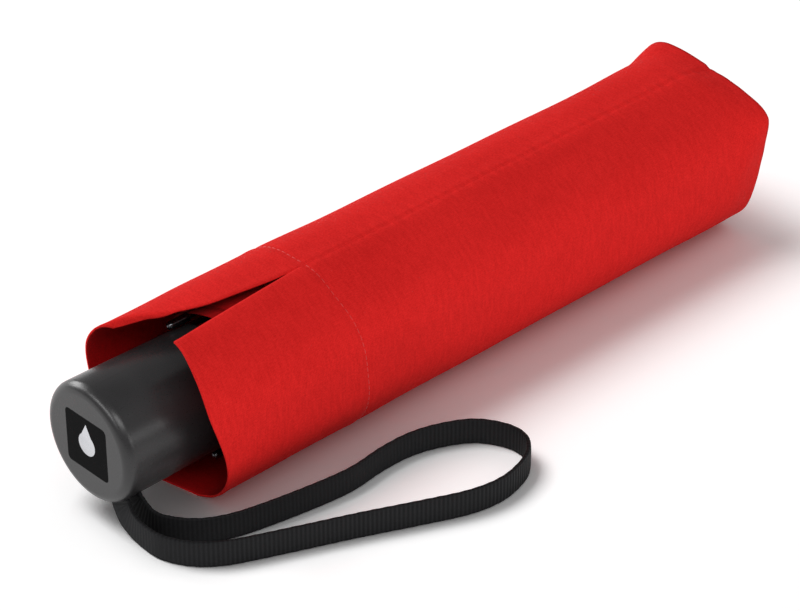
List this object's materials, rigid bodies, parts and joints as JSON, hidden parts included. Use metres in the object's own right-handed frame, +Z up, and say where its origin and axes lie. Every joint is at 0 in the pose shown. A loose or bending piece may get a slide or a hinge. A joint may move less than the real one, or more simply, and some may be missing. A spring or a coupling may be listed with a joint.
{
  "type": "folding umbrella",
  "caption": "Compact three-section folding umbrella, folded in a soft red cloth sleeve with an open slit, with a plain round grip and a flat wrist strap.",
  "frame": {"origin": "on the surface that the umbrella lies on, under the middle of its length from the grip's end face to the sleeve's closed end", "axes": "+X from the grip to the sleeve's closed end along the shaft, +Z up, +Y to the side away from the wrist strap"},
  "size_m": [0.24, 0.0947, 0.0524],
  "materials": {
    "sleeve_cloth": "fine plain-weave polyester, matt, with a faint sheen",
    "canopy_cloth": "thin coated pongee polyester, faint sheen",
    "soft_grip": "satin soft-touch moulded plastic",
    "black_plastic": "moulded nylon",
    "badge_black": "glossy black plate",
    "emblem_silver": "silver inlay",
    "webbing": "cross-ribbed woven webbing",
    "shaft_metal": "satin drawn tube",
    "steel": "drawn wire",
    "rib_steel": "black lacquered sheet steel",
    "tip_chrome": "polished"
  },
  "bodies": {
    "frame": {"upper_tube": "shaft_metal", "upper_collar": "black_plastic", "crown": "black_plastic", "crown_wire": "steel", "runner": "black_plastic", "runner_wire": "steel", "runner_catch": "steel", "ferrule_cap": "black_plastic", "cap_rivet": "steel", "rosette": "canopy_cloth", "inner_rib_1": "rib_steel", "inner_rib_2": "rib_steel", "inner_rib_3": "rib_steel", "inner_rib_4": "rib_steel", "inner_rib_5": "rib_steel", "inner_rib_6": "rib_steel", "inner_rib_7": "rib_steel", "inner_rib_8": "rib_steel", "stretcher_1": "rib_steel", "stretcher_2": "rib_steel", "stretcher_3": "rib_steel", "stretcher_4": "rib_steel", "stretcher_5": "rib_steel", "stretcher_6": "rib_steel", "stretcher_7": "rib_steel", "stretcher_8": "rib_steel", "middle_rib_1": "rib_steel", "middle_rib_2": "rib_steel", "middle_rib_3": "rib_steel", "middle_rib_4": "rib_steel", "middle_rib_5": "rib_steel", "middle_rib_6": "rib_steel", "middle_rib_7": "rib_steel", "middle_rib_8": "rib_steel", "outer_ribs": "steel", "rib_tips": "tip_chrome", "rib_rivets": "steel", "link_rods": "steel", "canopy": "canopy_cloth", "tie_strap": "canopy_cloth", "tie_fastener": "black_plastic"},
    "middle_shaft": {"middle_tube": "shaft_metal", "middle_bush": "black_plastic", "middle_collar": "black_plastic"},
    "handle": {"lower_tube": "shaft_metal", "lower_bush": "black_plastic", "handle_shell": "soft_grip", "handle_core": "black_plastic", "core_pin": "steel", "end_badge": "badge_black", "badge_emblem": "emblem_silver", "strap_anchor": "black_plastic", "wrist_strap": "webbing"},
    "sleeve": {"sleeve_body": "sleeve_cloth", "sleeve_end_panel": "sleeve_cloth"}
  },
  "joints": [
    {"name": "sleeve_slide", "type": "slide", "parent": "frame", "child": "sleeve", "axis": [1, 0, 0], "range_m": [0, 0.25]},
    {"name": "middle_slide", "type": "slide", "parent": "frame", "child": "middle_shaft", "axis": [-1, 0, 0], "range_m": [0, 0.145]},
    {"name": "handle_slide", "type": "slide", "parent": "middle_shaft", "child": "handle", "axis": [-1, 0, 0], "range_m": [0, 0.145]}
  ]
}
